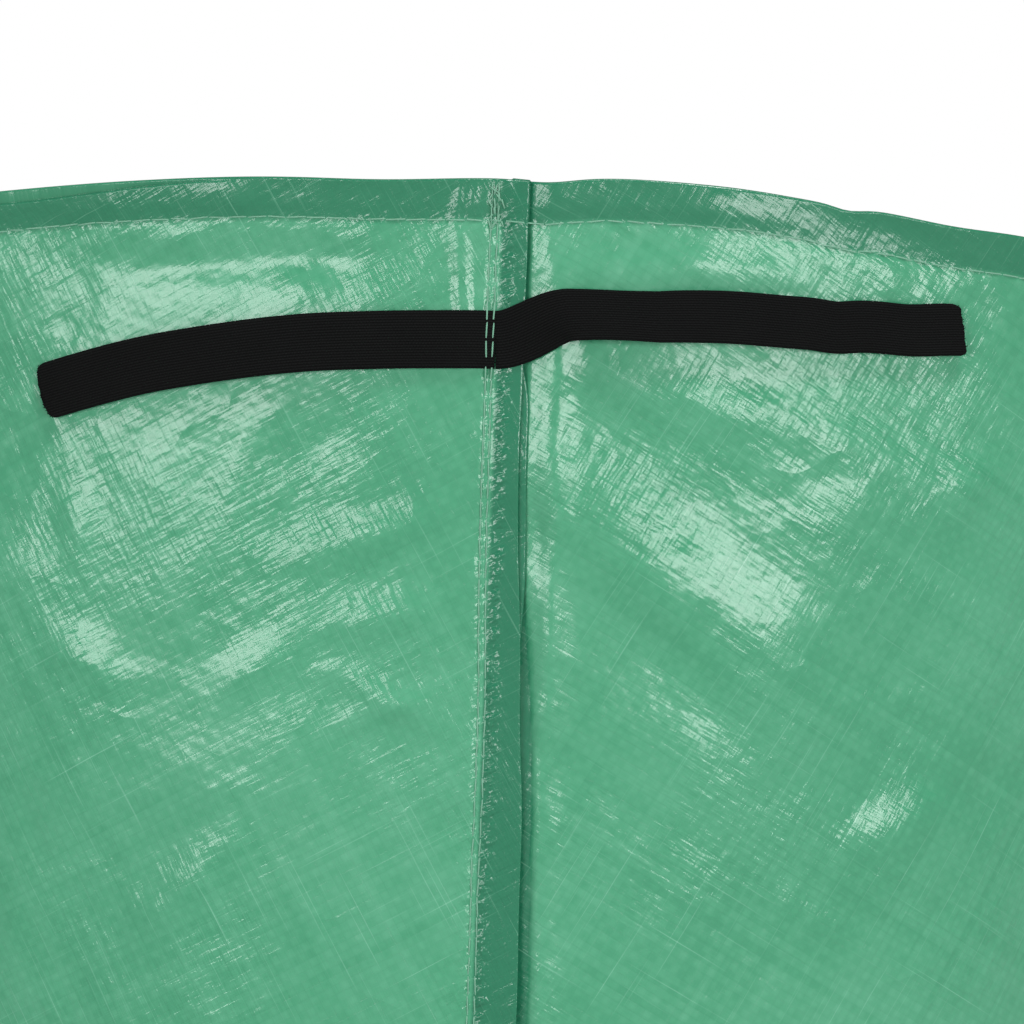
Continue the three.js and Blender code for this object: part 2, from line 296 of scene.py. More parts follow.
def webbingNodes(graph):
    graph.add("ShaderNodeUVMap", dict(uv_map="flat"))
    graph.add("ShaderNodeSeparateXYZ", None, [graph.out("UV")])
    side, run = graph.out("X"), graph.out("Y")
    # ribs that slant one way and then the other, as a herringbone
    slant = (side * 66.0).fraction() - 0.5
    yarn = ((run / webbing["pitch"] + slant.size() * 9.0) * math.pi).sine().size()
    fine = (side * (math.pi / 0.0009)).sine().size()
    lint = graph.noise(graph.vector(side, run), 700.0, 3.0, 0.7)
    colour = graph.mix(yarn * 0.35 + fine * 0.2 + (lint - 0.5) * 0.4, webbing["dark"], webbing["worn"])
    normal = graph.bump(yarn + fine * 0.4 + lint * 0.3, 0.00028)
    return {"Base Color": colour, "Roughness": 0.55 + lint * 0.25, "Normal": normal}


nickel = dict(bright=fromScreen(206, 205, 200), dull=fromScreen(150, 150, 147))


def nickelNodes(graph):
    place = graph.add("ShaderNodeTexCoord", None, None, 3)
    stain = graph.noise(place, 190.0, 4.0, 0.6)
    scratch = graph.noise(place, 1500.0, 2.0)
    colour = graph.mix(graph.ramp(stain, [(0.45, 0.0), (0.75, 1.0)]), nickel["bright"], nickel["dull"])
    return {"Base Color": colour, "Roughness": 0.16 + stain * 0.25, "Normal": graph.bump(scratch, 0.00003)}


floor = dict(size=60.0, colour=fromScreen(250, 250, 250), shade=fromScreen(243, 243, 243))


def floorNodes(graph):
    place = graph.add("ShaderNodeTexCoord", None, None, 3)
    grain = graph.noise(place, 14.0, 4.0)
    colour = graph.mix(grain, floor["colour"], floor["shade"])
    return {"Base Color": colour, "Roughness": 0.55 + grain * 0.2}


tarpaulinMaterial = newMaterial("coatedTarpaulin", {"Specular IOR Level": 0.52}, tarpaulinNodes)
threadMaterial = newMaterial("polyesterThread", {"Specular IOR Level": 0.4}, threadNodes)
elasticMaterial = newMaterial("knittedElastic", {"Specular IOR Level": 0.12}, elasticNodes)
webbingMaterial = newMaterial("handleWebbing", {"Specular IOR Level": 0.35}, webbingNodes)
nickelMaterial = newMaterial("nickelPlate", {"Metallic": 1.0}, nickelNodes)
floorMaterial = newMaterial("paleFloor", {"Specular IOR Level": 0.2}, floorNodes)
print("materials made")


# points on the cone, and meshes

# A point by its turn from the front towards +X, its distance down from the rim, and how far it stands out.
def conePoint(turn, down, out=0.0):
    turn, down, out = np.broadcast_arrays(*(np.asarray(v, float) for v in (turn, down, out)))
    radius = rimRadius - down * sinLean + out * cosLean
    height = rimHeight - down * cosLean - out * sinLean
    return np.stack([radius * np.sin(turn), -radius * np.cos(turn), height], axis=-1)


def coneOut(turn):
    turn = np.asarray(turn, float)
    fall = np.full_like(turn, -sinLean)
    return np.stack([cosLean * np.sin(turn), -cosLean * np.cos(turn), fall], axis=-1)


def radiusAt(down):
    return rimRadius - np.asarray(down, float) * sinLean


def meshObject(name, points, faces, material, uv=None):
    mesh = bpy.data.meshes.new(name)
    mesh.from_pydata([tuple(p) for p in points], [], faces)
    mesh.materials.append(material)
    if uv is not None:
        layer = mesh.uv_layers.new(name="flat")
        corners = np.empty(len(mesh.loops), int)
        mesh.loops.foreach_get("vertex_index", corners)
        layer.data.foreach_set("uv", np.asarray(uv, np.float32)[corners].ravel())
    mesh.polygons.foreach_set("use_smooth", [True] * len(mesh.polygons))
    made = bpy.data.objects.new(name, mesh)
    bpy.context.scene.collection.objects.link(made)
    return made


# camera, light and floor

view = dict(
    width=0.353, distance=1.3, below=0.1145, aside=0.0086,
    lookUp=math.radians(16.3), roll=math.radians(2.2),
)


def addCamera():
    target = Vector(conePoint(view["aside"] / rimRadius, view["below"]))
    way = Vector((0, math.cos(view["lookUp"]), math.sin(view["lookUp"])))
    data = bpy.data.cameras.new("camera")
    data.sensor_width = 36
    data.lens = data.sensor_width * view["distance"] / view["width"]
    data.clip_start = 0.05
    camera = bpy.data.objects.new("camera", data)
    camera.location = target - way * view["distance"]
    camera.rotation_mode = "QUATERNION"
    camera.rotation_quaternion = way.to_track_quat("-Z", "Y") @ Quaternion((0, 0, 1), view["roll"])
    bpy.context.scene.collection.objects.link(camera)
    bpy.context.scene.camera = camera


# name: where it stands, how wide and high it is, its power, and if it lights the floor
lamps = dict(
    lowLeft=((-0.95, -1.80, 0.10), 0.86, 0.42, 8.6, False),
    lowRight=((0.85, -1.90, 0.09), 0.78, 0.40, 8.6, False),
    above=((0.3, -1.3, 1.9), 1.2, 0.8, 6.5, True),
    behind=((1.1, 2.9, 1.6), 2.2, 1.6, 34.0, True),
)
sun = dict(strength=1.10, width=math.radians(14), way=(-0.25, 0.80, -0.85))
sky = dict(light=0.22, seen=1.0)
lampTarget = (0, -0.2, 0.35)


def addLamp(name, kind, place, target, **settings):
    data = bpy.data.lights.new(name, kind)
    for key, value in settings.items():
        setattr(data, key, value)
    lamp = bpy.data.objects.new(name, data)
    lamp.location = place
    lamp.rotation_mode = "QUATERNION"
    lamp.rotation_quaternion = (Vector(target) - Vector(place)).to_track_quat("-Z", "Y")
    lamp.visible_camera = False
    bpy.context.scene.collection.objects.link(lamp)
    return lamp


# The low lamps light the bag alone, and the floor casts no shadow from them.
def addLights(ground):
    unlit = bpy.data.collections.new("unlitByLowLamps")
    unlit.objects.link(ground)
    unlit.collection_objects[0].light_linking.link_state = "EXCLUDE"
    for name, (place, width, height, power, lightsFloor) in lamps.items():
        shape = dict(shape="RECTANGLE", size=width, size_y=height)
        lamp = addLamp(name, "AREA", place, lampTarget, energy=power, **shape)
        if not lightsFloor:
            lamp.light_linking.receiver_collection = unlit
            lamp.light_linking.blocker_collection = unlit
    addLamp("sun", "SUN", (0, 0, 0), sun["way"], energy=sun["strength"], angle=sun["width"])


# White where the camera sees it, dimmer as a light.
def addWorld():
    world = bpy.data.worlds.new("studio")
    bpy.context.scene.world = world
    world.use_nodes = True
    graph = Graph(world.node_tree)
    seen = graph.add("ShaderNodeLightPath")
    strength = sky["light"] + (sky["seen"] - sky["light"]) * seen
    graph.tree.links.new(strength.socket, world.node_tree.nodes["Background"].inputs["Strength"])
    world.node_tree.nodes["Background"].inputs["Color"].default_value = (1, 1, 1, 1)


def addFloor():
    half = floor["size"] / 2
    corners = [(-half, -half, 0), (half, -half, 0), (half, half, 0), (-half, half, 0)]
    ground = meshObject("floor", corners, [(0, 1, 2, 3)], floorMaterial)
    return ground


addCamera()
addLights(addFloor())
addWorld()
bpy.context.scene.view_settings.view_transform = "Standard"
print("studio made")


# the wall's surface

def smooth(value, low, high):
    t = np.clip((np.asarray(value, float) - low) / (high - low), 0, 1)
    return t * t * (3 - 2 * t)


# Smooth random hills from -1 to 1, one every cell, on a lattice turned so that it doesn't line up.
def hills(x, y, cell, seed):
    count = 101
    lattice = np.random.default_rng(seed).uniform(-1, 1, (count, count))
    spin = 0.6 + 0.7 * seed
    gx = (x * math.cos(spin) - y * math.sin(spin)) / cell
    gy = (x * math.sin(spin) + y * math.cos(spin)) / cell
    ix, iy = np.floor(gx).astype(int), np.floor(gy).astype(int)
    fx, fy = gx - ix, gy - iy
    sx, sy = fx**3 * (fx * (fx * 6 - 15) + 10), fy**3 * (fy * (fy * 6 - 15) + 10)
    pick = lambda dx, dy: lattice[(ix + dx) % count, (iy + dy) % count]
    low = pick(0, 0) * (1 - sx) + pick(1, 0) * sx
    high = pick(0, 1) * (1 - sx) + pick(1, 1) * sx
    return low * (1 - sy) + high * sy


# Sharp creases that wander, where the hills cross their own middle.
def creases(x, y, cell, seed):
    return 0.35 - np.minimum(np.abs(hills(x, y, cell, seed)), 0.35)


def ridge(x, y, start, end, width, height):
    dx, dy = end[0] - start[0], end[1] - start[1]
    t = np.clip(((x - start[0]) * dx + (y - start[1]) * dy) / (dx * dx + dy * dy), 0, 1)
    away = np.hypot(x - start[0] - t * dx, y - start[1] - t * dy)
    return height * np.exp(-((away / width) ** 2)) * np.sin(math.pi * (0.12 + 0.76 * t))


wall = dict(
    thickness=0.00045,
    hemDepth=0.015,
    hemStitch=0.014,
    foot=0.015,
    lap=0.013,  # upper panel past the stitching
    tuck=0.007,  # lower panel past the stitching
    lapStep=0.00235,  # lower panel inside the upper one
    flare=0.0019,  # how far the hem leans out
    lumps=0.0016,
    flank=0.0060,  # width over which the lower panel comes out past the upper one's fold
    ply=0.0007,  # from one ply of the lap's folded edge to the next
    plyOut=0.0036,  # how far the innermost ply shows past the fold, part way down
    roll=0.0009,  # radius of the hem's fold
    rows=0.0011,  # half the gap between the twin rows at the rim
    rowsSpread=0.0002,  # and how much wider that is half way down
    squareness=-0.007,
    billow=0.0046,
    sag=0.010,  # slack of the wall away from the seams and the rim
    dents=0.0017,
    creaseHeight=0.0016,
    crinkleHeight=0.0007,
    buckle=0.013,
    drape=0.024,  # broad hanging folds round the sides and the back
    packed=0.0022,  # height of the lines where the cloth was folded for packing
    packedDowns=(0.185, 0.365),
    packedTurns=(0.80, 1.32, 1.86, 2.45),
)

# Folds near the front seam: from, to, width and height, as metres to the right of the seam and down.
frontFolds = [
    ((0.018, 0.100), (0.130, 0.178), 0.017, 0.0042),
    ((0.030, 0.118), (0.115, 0.192), 0.008, 0.0016),
    ((0.025, 0.064), (0.150, 0.088), 0.009, 0.0018),
    ((0.120, 0.094), (0.138, 0.102), 0.007, 0.0012),
    ((0.140, 0.222), (0.166, 0.204), 0.009, 0.0018),
    ((0.160, 0.096), (0.182, 0.082), 0.008, 0.0014),
    ((0.021, 0.030), (0.023, 0.330), 0.005, 0.0012),
    ((-0.034, 0.036), (-0.018, 0.026), 0.007, 0.0012),
    ((-0.068, 0.131), (-0.012, 0.116), 0.007, 0.0017),
    ((-0.056, 0.158), (-0.012, 0.146), 0.007, 0.0017),
    ((-0.052, 0.172), (-0.012, 0.190), 0.005, 0.0016),
    ((-0.048, 0.190), (-0.014, 0.178), 0.004, 0.0011),
    ((-0.092, 0.178), (-0.066, 0.160), 0.007, 0.0015),
    ((-0.120, 0.262), (-0.090, 0.236), 0.008, 0.0018),
    ((-0.150, 0.104), (-0.146, 0.130), 0.006, 0.0015),
    ((-0.154, 0.158), (-0.132, 0.174), 0.007, 0.0015),
    ((-0.150, 0.030), (-0.022, 0.029), 0.0075, -0.0015),
    ((0.014, 0.031), (0.105, 0.027), 0.0060, 0.0015),
    ((-0.0085, 0.003), (-0.0110, 0.014), 0.0013, 0.0010),
    ((-0.0135, 0.002), (-0.0160, 0.016), 0.0013, 0.0011),
    ((-0.0150, 0.016), (-0.0115, 0.062), 0.0015, 0.0012),
    ((-0.0125, 0.017), (-0.0085, 0.060), 0.0014, 0.0011),
]


# How far to the right of the lap's middle its stitching has drifted.
def seamDrift(downs):
    return -0.0020 + 0.0022 * smooth(downs, 0.10, 0.22) + 0.0003 * hills(downs, downs * 0, 0.05, 52)


# How far each of the twin rows is from their middle.
def rowSpread(downs):
    return wall["rows"] + wall["rowsSpread"] * smooth(downs, 0.05, 0.30)


# How far the wall's outer face stands out from the cone, before any lap.
def wallRelief(turn, down):
    turn = (np.asarray(turn, float) + math.pi) % (2 * math.pi) - math.pi
    down = np.asarray(down, float)
    radius = radiusAt(down)
    aside = turn * radius  # arc length from the front seam
    fromBack = (math.pi - np.abs(turn)) * radius
    fromSeam = np.minimum(np.abs(aside), fromBack)
    fromHandle = np.abs(np.abs(turn) - math.pi / 2) * radius
    free = smooth(fromSeam, 0.004, 0.060)
    free = free * (1 - 0.85 * (1 - smooth(fromHandle, 0.095, 0.150)) * (1 - smooth(down, 0.10, 0.17)))
    high = 1 - smooth(down, 0.30, 0.54)
    low = np.exp(-(wallSlant - down) / 0.085)
    edge = 1 - smooth(down, wallSlant - 0.045, wallSlant - 0.004)
    out = wall["squareness"] * np.sin(2 * turn) ** 2 * high
    out = out + wall["billow"] * hills(aside, down * 0.7, 0.150, 1) * free
    out = out + wall["dents"] * hills(aside, down, 0.055, 2) * free
    out = out + wall["creaseHeight"] * creases(aside, down, 0.070, 3) * free
    out = out + wall["crinkleHeight"] * creases(aside, down, 0.026, 4) * (0.3 + 0.7 * free)
    out = out + wall["buckle"] * hills(aside, down * 0.6, 0.085, 5) * low * free
    slack = np.sin(math.pi * np.clip((down - 0.10) / (wallSlant - 0.12), 0, 1)) ** 2
    slack = slack * smooth(fromSeam, 0.12, 0.40)
    out = out + wall["sag"] * (hills(aside, down * 0.8, 0.24, 12) - 0.25) * slack
    hanging = smooth(np.abs(aside), 0.18, 0.38) * free
    deep = 0.35 + 0.65 * np.sin(math.pi * np.clip(down / wallSlant, 0, 1))
    out = out + wall["drape"] * (hills(aside, down * 0.30, 0.135, 13) - 0.15) * hanging * deep
    out = out + 0.35 * wall["drape"] * hills(aside + 0.5 * down, down * 0.5, 0.075, 14) * hanging * deep
    # puckers along the hem and along both sides of the seams
    hem = np.sin(math.pi * np.clip(down / wall["hemStitch"], 0, 1)) * (down > 0)
    out = out + 0.0009 * hem * hills(aside, down, 0.024, 6)
    belowHem = np.exp(-(((down - 0.024) / 0.009) ** 2))
    out = out + 0.0006 * belowHem * hills(aside, down * 0.4, 0.013, 7) * smooth(fromSeam, 0.002, 0.01)
    beside = np.exp(-fromSeam / 0.014) * smooth(fromSeam, 0.001, 0.006)
    out = out + 0.0012 * beside * hills(aside * 0.5, down, 0.015, 8)
    out = out - 0.0005 * np.exp(-(((down - wall["hemStitch"]) / 0.0017) ** 2))
    rowAside = np.where(np.abs(turn) < math.pi / 2, turn, turn - np.copysign(math.pi, turn)) * radius
    rowAside = np.abs(rowAside - seamDrift(down)) - rowSpread(down)
    out = out - 0.0004 * np.exp(-((rowAside / 0.0009) ** 2))
    out = out + wall["flare"] * np.clip(1 - down / wall["hemDepth"], 0, 1)
    for start, end, width, height in frontFolds:
        out = out + ridge(aside, down, start, end, width, height)
    # lines where the cloth was folded for packing
    for fold in wall["packedDowns"]:
        away = np.abs(down - fold - 0.002 * hills(aside, down, 0.1, 9))
        broken = smooth(hills(aside, down * 0, 0.09, 15), -0.1, 0.7)
        out = out + wall["packed"] * np.exp(-away / 0.006) * hanging * broken
    for fold in wall["packedTurns"]:
        out = out + wall["packed"] * np.exp(-np.abs(np.abs(turn) - fold) * radius / 0.006) * hanging
    return out * edge


# Dents and rises of the rim in front: metres to the right of the seam, half width, how much lower.
rimDents = [
    (-0.042, 0.030, 0.0014), (0.016, 0.012, 0.0014), (0.048, 0.032, -0.0019), (0.084, 0.024, -0.0012),
    (0.121, 0.007, 0.0014), (0.160, 0.020, 0.0012),
]


# How much lower than the plain cone the rim is there, fading out below it.
def rimDrop(turn, down):
    turn = np.asarray(turn, float)
    wave = 0.0009 * hills(turn * rimRadius, 0.0 * turn, 0.055, 10) * smooth(np.abs(turn), 0.38, 0.60)
    wave = wave + 0.0085 * (hills(turn * rimRadius, 0.0 * turn, 0.21, 11) + 0.4) * np.sin(turn) ** 2
    for place, halfWidth, drop in rimDents:
        wave = wave + drop * np.exp(-(((turn * rimRadius - place) / halfWidth) ** 2))
    return wave * np.exp(-np.abs(down) / 0.10)


# How far the hem's inner ply stands above the front one, left of the front seam.
def innerPlyRise(turn):
    left = -((np.asarray(turn, float) + math.pi) % (2 * math.pi) - math.pi) * rimRadius
    return 0.0034 * smooth(left, 0.092, 0.178) * (1 - smooth(left, 0.25, 0.33))


def surfacePoint(turn, down, out=0.0):
    return conePoint(turn, down + rimDrop(turn, down), wallRelief(turn, down) + out)


# meshes

# The finished mesh of an object with its modifiers applied.
def settle(piece):
    bpy.context.view_layer.update()
    scene = bpy.context.evaluated_depsgraph_get()
    evaluated = piece.evaluated_get(scene)
    finished = bpy.data.meshes.new_from_object(evaluated, preserve_all_data_layers=True, depsgraph=scene)
    piece.modifiers.clear()
    piece.data = finished
    return piece


def faceOutwards(piece):
    shell = bmesh.new()
    shell.from_mesh(piece.data)
    bmesh.ops.recalc_face_normals(shell, faces=shell.faces)
    shell.to_mesh(piece.data)
    shell.free()
    return piece


def gridFaces(rows, columns):
    corner = np.arange(rows * columns).reshape(rows, columns)
    quads = np.stack([corner[:-1, :-1], corner[1:, :-1], corner[1:, 1:], corner[:-1, 1:]], axis=-1)
    return quads.reshape(-1, 4).tolist()


# Section of a wall panel from the hem's inner edge, over the rim, down the wall and in over the base.
# Each row: down, out, how a lower layer moves (down, out), share of the relief, length along the cloth,
# how much of the inner ply's rise it takes.
def panelRows():
    roll = wall["roll"]
    rows = []
    for down in np.linspace(wall["hemDepth"], roll, 7):
        rows.append((down, -2 * roll, 0, -1, 1, -down, 0))
    for angle in np.linspace(0, math.pi, 7)[1:-1]:
        down, out = roll * (1 - math.sin(angle)), -roll * (1 + math.cos(angle))
        rows.append((down, out, 0, -1, 1, (angle / math.pi - 0.5) * roll, 0))
    rows.append((roll, 0, 0, -1, 1, roll, 0))
    # the step from the inner ply down to the front one: flat, groove, edge
    rows.append((roll + 0.0002, 0, 0, -1, 1, roll + 0.0002, 0.90))
    rows.append((roll + 0.0003, 0, 0, -1, 1, roll + 0.0003, 1.00))
    rows.append((roll + 0.0004, 0, 0, -1, 1, roll + 0.0004, 1.00))
    for down in (0.0020, 0.0034, 0.0054):
        rows.append((down, 0, 0, -1, 1, down, 1.0 - float(smooth(down, 0.001, 0.012))))
    fine = np.arange(0.0078, 0.330, 0.0027)
    coarse = np.linspace(0.330, wallSlant - 0.006, 30)
    for down in [*fine, *coarse]:
        rows.append((down, 0, 0, -1, 1, down, max(0.0, 1.0 - float(smooth(down, 0.001, 0.012)))))
    corner = wallSlant - (baseTop + wall["thickness"] + 0.0002) / cosLean
    for inward in np.linspace(0.0005, wall["foot"], 7):
        down = corner + inward * sinLean
        rows.append((down, -inward * cosLean, -cosLean, -sinLean, 0, corner + inward, 0))
    return np.array(rows)


# Columns of a panel from its tuck under the next one to its folded free edge.
# Each column: share of the half turn, offset from that seam, how far in it lies, how it follows the
# fold's place, and how it follows the innermost ply's.
def panelColumns(seamAtFront):
    columns = [(0.0, offset, 0, 0, 0) for offset in np.linspace(-wall["tuck"], 0, 6)[:-1]]
    half = math.pi * rimRadius
    close = np.concatenate([np.arange(0, 0.0052, 0.00065), np.arange(0.0052, 0.026, 0.0013)])
    near, far = np.arange(0.026, 0.21, 0.0031), 0.0105
    fineEnd = np.concatenate([close, near]) / half
    coarseEnd = np.concatenate([np.arange(0, 0.030, 0.0050), np.arange(0.030, 0.21, far)]) / half
    start = coarseEnd if seamAtFront else fineEnd
    finish = fineEnd if seamAtFront else coarseEnd
    middle = np.linspace(0.21 / half, 1 - 0.21 / half, int((half - 0.42) / far))
    columns += [(share, 0.0, 0, 0, 0) for share in [*start, *middle, *(1 - finish[::-1])]]
    edge, ply = wall["lap"], wall["ply"]
    for offset in np.linspace(0.0009, edge - ply / 2, 13):
        columns.append((1.0, offset, 0, offset / edge, 0))
    for angle in np.linspace(0, math.pi, 5)[1:-1]:
        bulge = ply / 2 * math.sin(angle)
        columns.append((1.0, edge - ply / 2 + bulge, ply / 2 * (1 - math.cos(angle)), 1, 0))
    for offset in np.linspace(edge - ply / 2, 0.0055, 5):
        columns.append((1.0, offset, ply, offset / edge, 0))
    columns.append((1.0, 0.0052, 1.5 * ply, 0.4, 0))
    for offset in np.linspace(0.0055, edge - 0.0012, 8):
        columns.append((1.0, offset, 2 * ply, offset / edge, smooth(offset, 0.006, edge - 0.0012)))
    return np.array(columns, float)


# A wall panel. It starts tucked under at startTurn and ends, half a turn on, over the next panel.
def wallPanel(name, startTurn, seamAtFront, seed):
    rows, columns = panelRows(), panelColumns(seamAtFront)
    down, out, lowerDown, lowerOut, relief, length, rise = (rows[:, i][:, None] for i in range(7))
    share, offset, inside, atFold, atPly = (columns[:, i][None, :] for i in range(5))
    radius = radiusAt(np.clip(down, 0, wallSlant))
    # part way down, the fold draws back and shows the innermost ply
    shown = smooth(down, 0.055, 0.080) * (1 - smooth(down, 0.125, 0.180))
    fold = -0.0032 + 0.0060 * smooth(down, 0.085, 0.25)
    fold = fold + 0.0004 * hills(down, down * 0, 0.03, seed + 1)
    offset = offset + fold * atFold + wall["plyOut"] * shown * atPly
    turn = startTurn + share * math.pi + offset / radius
    fromStart = (share * math.pi) * radius + offset
    # the start of the panel runs under the other panel's lap and comes out past its edge
    gap = 0.0006 + 0.0030 * smooth(down, 0.12, 0.18) + 0.0003 * hills(down, down * 0, 0.04, seed + 3)
    valley = wall["lap"] + fold + gap
    crest = 0.0024 * hills(down, down * 0, 0.032, seed + 7) * smooth(down, 0.05, 0.10)
    steep = smooth(fromStart, valley + 0.0002, valley + 0.0015)
    slope = np.clip((fromStart - valley - 0.0012) / (wall["flank"] + crest), 0, 1)
    under = wall["lapStep"] * (1 - 0.45 * steep - 0.55 * slope)
    crown = 0.0009 * np.exp(-(((fromStart - 0.0225 - crest) / 0.0050) ** 2)) * smooth(down, 0.01, 0.05)
    # the free edge lifts a little, unevenly
    fromEnd = np.clip((share - 1) * math.pi * radius + offset, 0, 1)
    lift = (fromEnd / wall["lap"]) ** 1.5 * (0.0007 + 0.0008 * hills(down, down * 0, 0.045, seed))
    clearRim = smooth(down, 0.004, 0.03)
    # lumps down the side of the fold
    beside = np.exp(-(((fromStart - valley - 0.0075) / 0.0055) ** 2)) * smooth(down, 0.085, 0.12)
    crown = crown + wall["lumps"] * hills(down, down * 0, 0.028, seed + 9) * beside
    out = out + relief * (wallRelief(turn, np.clip(down, 0, wallSlant)) + crown + lift * clearRim)
    plyRise = innerPlyRise(turn)
    behind = ((rise > 0.85) & (length < 0.0013)) * 1.0
    out = out - 0.9 * behind * np.minimum(plyRise, 0.0012) * (length < wall["roll"] + 0.00035)
    inward = under + inside
    downs = down + inward * lowerDown + rimDrop(turn, down) * relief + plyRise * rise
    points = conePoint(turn, downs, out + inward * lowerOut)
    middleTurn = startTurn + math.pi / 2
    spread = (turn - middleTurn) * sinLean
    reach = apexSlant - length
    uv = np.stack(np.broadcast_arrays(reach * np.sin(spread), -reach * np.cos(spread)), axis=-1)
    points, uv = points.reshape(-1, 3), uv.reshape(-1, 2)
    piece = meshObject(name, points, gridFaces(*turn.shape), tarpaulinMaterial, uv)
    # painted shade: darker over the doubled cloth of the hem and the lap, and over the valley past the upper
    # panel's fold, where the lower panel lies in shade
    thin = smooth(plyRise, 0, 0.002) * (length < wall["roll"] + 0.0003)
    hem = (length < wall["hemStitch"]) * (1 - 0.35 * thin)
    lappedAndValleyShade = smooth(fromEnd, 0.0, 0.0012) + 1 - smooth(fromStart, valley - 0.0002, valley + 0.0010)
    paint(piece, "layers", np.clip(0.82 * hem + 0.95 * lappedAndValleyShade, 0, 1.0), turn.shape)
    before = np.clip(-((share - 1) * math.pi * radius + offset), 0, 1)
    pullBefore = 0.40 * np.exp(-(((before - 0.0015) / 0.0035) ** 2))
    pullAfter = np.exp(-(((fromEnd - 0.0034) / 0.0024) ** 2))
    seamPull = np.where(before > 0, pullBefore, pullAfter) * smooth(down, 0.0, 0.02)
    hemPull = np.exp(-np.abs(down - wall["hemStitch"] - 0.001) / 0.0032)
    paint(piece, "pull", np.clip(seamPull + 0.30 * hemPull, 0, 1) * relief, turn.shape)
    rubbed = np.exp(-(((fromStart - valley - 0.0065) / 0.0042) ** 2)) * smooth(down, 0.07, 0.12)
    rubbed = rubbed * smooth(hills(down, down * 0, 0.03, seed + 8), -0.35, 0.25)
    paint(piece, "rubbed", rubbed * relief, turn.shape)
    thicken(piece)
    settle(piece)
    punch(piece)
    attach(piece, "bag")
    return piece


# A value at each point of the mesh, for its material.
def paint(piece, name, values, shape):
    attribute = piece.data.attributes.new(name, "FLOAT", "POINT")
    attribute.data.foreach_set("value", np.broadcast_to(values, shape).astype(np.float32).ravel())


def thicken(piece):
    solid = piece.modifiers.new("thickness", "SOLIDIFY")
    solid.thickness = wall["thickness"]
    solid.offset = -1
    solid.use_rim = True


eyelets = dict(count=6, hole=0.0056, flange=0.009, bore=0.005, plate=0.0009, rounding=7)
eyeletPlaces = [sum(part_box(f"drain_eyelet_{i + 1}"), Vector()) / 2 for i in range(eyelets["count"])]


def eyeletTurn(place):
    return math.atan2(place.x, -place.y)


def eyeletDown(place):
    return (rimRadius - math.hypot(place.x, place.y)) * sinLean + (rimHeight - place.z) * cosLean


# Holes in the cloth for the eyelets.
def punch(piece):
    drill = bmesh.new()
    for place in eyeletPlaces:
        turn = eyeletTurn(place)
        aim = Vector(coneOut(turn)).to_track_quat("Z", "Y").to_matrix().to_4x4()
        bmesh.ops.create_cone(
            drill, cap_ends=True, segments=32, radius1=eyelets["hole"], radius2=eyelets["hole"], depth=0.06,
            matrix=Matrix.Translation(place) @ aim,
        )
    mesh = bpy.data.meshes.new("drill")
    drill.to_mesh(mesh)
    drill.free()
    tool = bpy.data.objects.new("drill", mesh)
    bpy.context.scene.collection.objects.link(tool)
    cut = piece.modifiers.new("holes", "BOOLEAN")
    cut.operation = "DIFFERENCE"
    cut.solver = "EXACT"
    cut.object = tool
    settle(piece)
    bpy.data.objects.remove(tool)


leftPanel = wallPanel("leftWall", -math.pi, True, 21)
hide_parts("wall_panel_left")
rightPanel = wallPanel("rightWall", 0.0, False, 31)
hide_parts("wall_panel_right")
print("wall panels made", len(leftPanel.data.vertices), len(rightPanel.data.vertices))


# base

def basePanel():
    rings, spokes = 46, 168
    radii = np.linspace(0, 1, rings) ** 0.85 * baseRadius
    angle = np.linspace(0, 2 * math.pi, spokes, endpoint=False)
    points, faces = [(0.0, 0.0, baseTop)], []
    for radius in radii[1:]:
        x, y = radius * np.cos(angle), radius * np.sin(angle)
        ripple = 0.0035 * np.maximum(hills(x, y, 0.07, 41), 0) + 0.0016 * creases(x, y, 0.045, 42)
        height = baseTop + ripple * smooth(baseRadius - radius, 0.018, 0.06)
        points += np.stack([x, y, height], axis=-1).tolist()
    for k in range(spokes):
        after = (k + 1) % spokes
        faces.append((0, 1 + k, 1 + after))
        for ring in range(rings - 2):
            a, b = 1 + ring * spokes, 1 + (ring + 1) * spokes
            faces.append((a + k, b + k, b + after, a + after))
    piece = meshObject("baseCloth", points, faces, tarpaulinMaterial, [p[:2] for p in points])
    for name in ("layers", "pull"):
        paint(piece, name, 0.0, (len(points),))
    thicken(piece)
    settle(piece)
    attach(piece, "bag")
    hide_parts("base_panel")
    return piece


basePanel()
print("base made")


# rows of small curved things along a path, in Geometry Nodes

asNumber, asVector = dict(data_type="FLOAT"), dict(data_type="FLOAT_VECTOR")
rowInputs = [
    ("Pitch", "NodeSocketFloat"),
    ("Radius", "NodeSocketFloat"),
    ("Start", "NodeSocketVector"),
    ("Middle", "NodeSocketVector"),
    ("End", "NodeSocketVector"),
    ("Turning", "NodeSocketFloat"),
    ("Uneven", "NodeSocketFloat"),
    ("Seed", "NodeSocketInt"),
    ("Material", "NodeSocketMaterial"),
]


